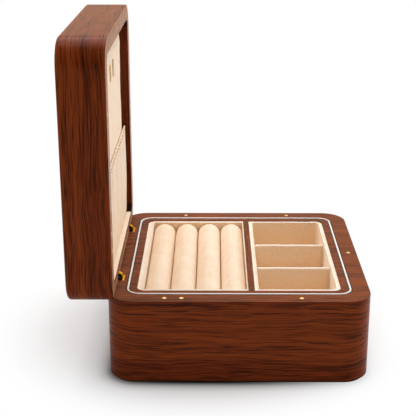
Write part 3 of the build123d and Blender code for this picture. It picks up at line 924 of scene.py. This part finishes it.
class CUFFLINKBOX_OT_lid_cushion(Operator):
    """Stuff the flat cushion that fills the lid"""

    bl_idname = "cufflink_box.lid_cushion"
    bl_label = "Lid cushion"

    def execute(self, context):
        low, high = lid_box("lid_cushion")
        # The form starts smaller than its room, which the swelling fills
        room = Vector((1.2, 1.2, 0))
        front = low.z + 1.6
        bm = bmesh.new()
        face = rounded_face(bm, low + room, high - room, front, (6.5,) * 4)
        raise_faces(bm, [face], high.z - front)
        rounded_bevel(bm, edges_at(bm, front), 3.5, 4)
        form = cloth_form(bm, "lid_cushion_form", 4.0)
        swell([form], lambda p: p.z > high.z - 4, cap=2.4)
        bm = shaped_mesh(form)
        proud = Vector((0, 0, 0.05))
        back = Vector((high.x, high.y, math.inf))
        stay_inside(bm, low + proud, back)
        name, node = "lid_cushion_suede", "lid_cushion"
        finish_piece(bm, name, "lid_suede", "lid", node, fill=0.7)
        return {"FINISHED"}


class CUFFLINKBOX_OT_lid_pocket(Operator):
    """Gather the elastic pocket across the lower half of the lid"""

    bl_idname = "cufflink_box.lid_pocket"
    bl_label = "Lid pocket"

    def execute(self, context):
        lining = context.scene.cufflink_box.lining
        depth, count = lining.gather_depth / MM, lining.gather_count
        low, high = lid_box("lid_pocket")
        width, height = high.y - low.y, high.x - low.x
        middle = (low.z + high.z) / 2
        # How far the pocket bellies out half way up, and how far from its sides it lies flat
        belly, flat_side = 1.2, 5.0
        bm = bmesh.new()
        rounded_face(bm, low, high, middle, (7.2, 0.2, 7.2, 0.2))
        slice_across(bm, 0, low.x, high.x, 26)
        slice_across(bm, 1, low.y, high.y, 260)
        for vert in bm.verts:
            y = vert.co.y
            climb = (vert.co.x - low.x) / height
            side = min(1.0, (high.y - abs(y)) / flat_side)
            # The pleats wander more towards the foot, and go deeper towards the hem
            lean = y + 5.0 * (1 - climb) * noise.noise(Vector((y / 30, climb * 1.5, 5)))
            pleats = gather(lean, width, count)
            fold = depth * climb**1.6 * (0.5 + 0.5 * pleats)
            bulge = math.sin(math.pi * min(1.0, climb * 1.05)) * belly
            vert.co.z -= side * (fold + bulge * (0.6 + 0.4 * pleats * climb))
        pocket = finish_piece(bm, "gathered_pocket", "pocket_suede", "lid", "lid_pocket")
        thick = pocket.modifiers.new("Solidify", "SOLIDIFY")
        thick.thickness = 0.5 * MM
        thick.offset = 0.0

        low, high = lid_box("pocket_hem")
        bm = bmesh.new()
        block(bm, low + Vector((0.3, 0.3, 0.2)), high - Vector((0.3, 0.3, 0.1)))
        rounded_bevel(bm, edges_along(bm, 1, lambda p: True), 0.5, 3)
        slice_across(bm, 1, low.y, high.y, 240)
        for vert in bm.verts:
            pleats = gather(vert.co.y, width, count)
            fine = math.sin(vert.co.y * 2.4 + 3 * noise.noise(vert.co / 6))
            if vert.co.z < middle:
                vert.co.z -= 0.35 * pleats + 0.06 * fine
            vert.co.x += 0.15 * pleats
        hem = finish_piece(bm, "elastic_hem", "pocket_suede", "lid", "pocket_hem")
        return {"FINISHED"}


class CUFFLINKBOX_OT_lid_trimmings(Operator):
    """Glue the strip along the lid's hinge wall and sew on the two tan tabs"""

    bl_idname = "cufflink_box.lid_trimmings"
    bl_label = "Lid strip and tabs"

    def execute(self, context):
        low, high = lid_box("hinge_wall_lining")
        bm = bmesh.new()
        block(bm, low, high)
        rounded_bevel(bm, edges_along(bm, 1, lambda p: p.x > low.x + 0.5), 0.35, 3)
        slice_across(bm, 1, low.y, high.y, 40)
        soft_waves(bm, 9.0, 0.12, 61)
        strip = finish_piece(bm, "hinge_wall_strip", "pocket_suede", "lid", "hinge_wall_lining")

        low, high = lid_box("lid_tabs")
        tab_width, tab_thickness = 7.0, 0.5
        front = high.z - tab_thickness
        bm = bmesh.new()
        for left in (low.y, high.y - tab_width):
            block(bm, Vector((low.x, left, front)), Vector((high.x, left + tab_width, high.z)))
        rounded_bevel(bm, edges_along(bm, 2, lambda p: True), 3.2, 5)
        rounded_bevel(bm, edges_at(bm, front), 0.25, 2)
        finish_piece(bm, "suede_tabs", "tan_suede", "lid", "lid_tabs", slot="tab_suede", fill=0.3)
        return {"FINISHED"}


# -------------------- stage


def softbox(name, place, aim, size, power):
    """A square area lamp that points at a place."""
    lamp = bpy.data.lights.new(name, "AREA")
    lamp.shape = "SQUARE"
    lamp.size = size
    lamp.energy = power
    stand = bpy.data.objects.new(name, lamp)
    stand.location = place
    stand.rotation_euler = (Vector(aim) - Vector(place)).to_track_quat("-Z", "Y").to_euler()
    bpy.context.scene.collection.objects.link(stand)


def white_paper():
    """White paper: matt and smooth. It keeps the shadow near the box, lifted for the camera so that
    only shadows show on it, and fades into plain white round it. At the box's foot the paper is
    painted dark, a painted contact shadow."""
    finish = {"Roughness": 0.6, "Specular IOR Level": 0.2}
    material, tree, shader = new_material("white_paper_sweep", finish)
    spot = add_node(tree, "TexCoord").outputs["Object"]
    # The white begins close before the box, and further off on the side where the lid stands
    shadow_centre, shadow_near, shadow_far = (-0.03, 0.015, 0.0), 0.115, 0.2
    away = vector_maths(tree, "DISTANCE", spot, shadow_centre)
    fade = ramp(tree, away.outputs["Value"], shadow_near, shadow_far)
    seen = add_node(tree, "LightPath").outputs["Is Camera Ray"]
    share = maths(tree, "MULTIPLY", fade, seen)
    # No lift in the last few millimetres before the box's foot, where the contact shadow lies, and
    # the paper is painted dark there as a painted contact shadow
    foot = outside_square(tree, spot, (HALF_SIDE - CORNER_RADIUS) * MM)
    lit = ramp(tree, foot, 0.018, 0.036, 0.0, 0.26)
    pale = ramp(tree, foot, 0.018, 0.027, 0.05, 1.0)
    colour = mix(tree, pale, linear("2C2A28"), linear("E8E8E8"))
    tree.links.new(result(colour), shader.inputs["Base Color"])
    lift = maths(tree, "MULTIPLY", seen, lit)
    lifted = add_node(tree, "Emission", {"Strength": lift})
    paper = add_node(tree, "AddShader", {0: shader, 1: lifted})
    white = add_node(tree, "Emission", {"Strength": 1.0})
    blend = add_node(tree, "MixShader", {0: share, 1: paper, 2: white})
    tree.links.new(blend.outputs[0], tree.nodes["Material Output"].inputs["Surface"])
    return material


def make_floor():
    """A pale floor far wider than the camera sees."""
    bm = bmesh.new()
    bmesh.ops.create_grid(bm, x_segments=1, y_segments=1, size=6.0)
    floor = new_object(bm, "floor")
    floor.data.materials.append(white_paper())


def make_sky(scene, studio):
    """A pale sky that lights from above and behind. The camera sees it as plain white, and gloss
    as a pale room that is dim towards the front."""
    world = bpy.data.worlds.new("studio")
    scene.world = world
    world.use_nodes = True
    tree = world.node_tree
    tree.nodes.clear()
    axes = add_node(tree, "SeparateXYZ", {0: add_node(tree, "TexCoord").outputs["Generated"]})
    aside = maths(tree, "ABSOLUTE", axes.outputs["X"])
    behind = maths(tree, "MULTIPLY_ADD", aside, 1.1, axes.outputs["Y"])
    front, rear = studio.front_light, studio.rear_light
    light = ramp(tree, behind, -0.7, 0.5, front, rear)
    gloss = ramp(tree, behind, -0.7, 0.5, 0.3 * front, 0.9 * rear)
    sky, room, white = (
        add_node(tree, "Background", {"Color": linear(code), "Strength": strength})
        for code, strength in (("E7E7E7", light), ("EEDFCB", gloss), ("FFFFFF", 1.0))
    )
    ray = add_node(tree, "LightPath").outputs
    both = add_node(tree, "MixShader", {0: ray["Is Glossy Ray"], 1: sky, 2: room})
    seen = maths(tree, "MAXIMUM", ray["Is Camera Ray"], ray["Is Transmission Ray"])
    shown = add_node(tree, "MixShader", {0: seen, 1: both, 2: white})
    add_node(tree, "OutputWorld", {"Surface": shown})


class CUFFLINKBOX_OT_studio(Operator):
    """Set up the floor, the lamps, the sky and the camera"""

    bl_idname = "cufflink_box.studio"
    bl_label = "Studio"

    def execute(self, context):
        scene, studio = context.scene, context.scene.cufflink_box.studio
        scene.view_settings.view_transform = "Standard"
        make_floor()
        make_sky(scene, studio)
        softbox("softbox_above", (-0.12, 0.4, 1.15), (0.0, 0.0, 0.1), 1.1, studio.softbox_power)
        softbox("side_fill", (0.9, 0.15, 0.45), (-0.1, 0.0, 0.15), 0.6, studio.fill_power)
        camera = bpy.data.cameras.new("camera")
        camera.lens = studio.focal_length
        camera.clip_start, camera.clip_end = 0.05, 20.0
        viewer = bpy.data.objects.new("camera", camera)
        viewer.location = studio.camera_place
        viewer.rotation_euler = (math.pi / 2 - studio.camera_pitch, 0, studio.camera_yaw)
        scene.collection.objects.link(viewer)
        scene.camera = viewer
        return {"FINISHED"}


# -------------------- panel and registration


class CUFFLINKBOX_PT_sidebar(Panel):
    """The steps and settings in the 3D view's sidebar"""

    bl_idname = "CUFFLINKBOX_PT_sidebar"
    bl_label = "Cufflink Box"
    bl_space_type = "VIEW_3D"
    bl_region_type = "UI"
    bl_category = "Cufflink Box"

    def draw(self, context):
        settings = context.scene.cufflink_box
        for group in (settings.wood, settings.lining, settings.metal, settings.studio):
            column = self.layout.column(align=True)
            for name in group.__annotations__:
                column.prop(group, name)
        for step in STEPS:
            self.layout.operator(step.bl_idname)


GROUPS = (WoodColours, LiningSettings, MetalColours, StudioSettings, CufflinkBoxSettings)
STEPS = (
    CUFFLINKBOX_OT_wood,
    CUFFLINKBOX_OT_metal,
    CUFFLINKBOX_OT_suede,
    CUFFLINKBOX_OT_rolls,
    CUFFLINKBOX_OT_tray_linings,
    CUFFLINKBOX_OT_partitions,
    CUFFLINKBOX_OT_store,
    CUFFLINKBOX_OT_lid_cushion,
    CUFFLINKBOX_OT_lid_pocket,
    CUFFLINKBOX_OT_lid_trimmings,
    CUFFLINKBOX_OT_studio,
)


def register():
    for kind in (*GROUPS, *STEPS, CUFFLINKBOX_PT_sidebar):
        bpy.utils.register_class(kind)
    bpy.types.Scene.cufflink_box = PointerProperty(type=CufflinkBoxSettings)


def unregister():
    del bpy.types.Scene.cufflink_box
    for kind in reversed((*GROUPS, *STEPS, CUFFLINKBOX_PT_sidebar)):
        bpy.utils.unregister_class(kind)


def main():
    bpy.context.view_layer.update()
    register()
    for step in STEPS:
        group, name = step.bl_idname.split(".")
        getattr(getattr(bpy.ops, group), name)()


if __name__ == "__main__":
    main()
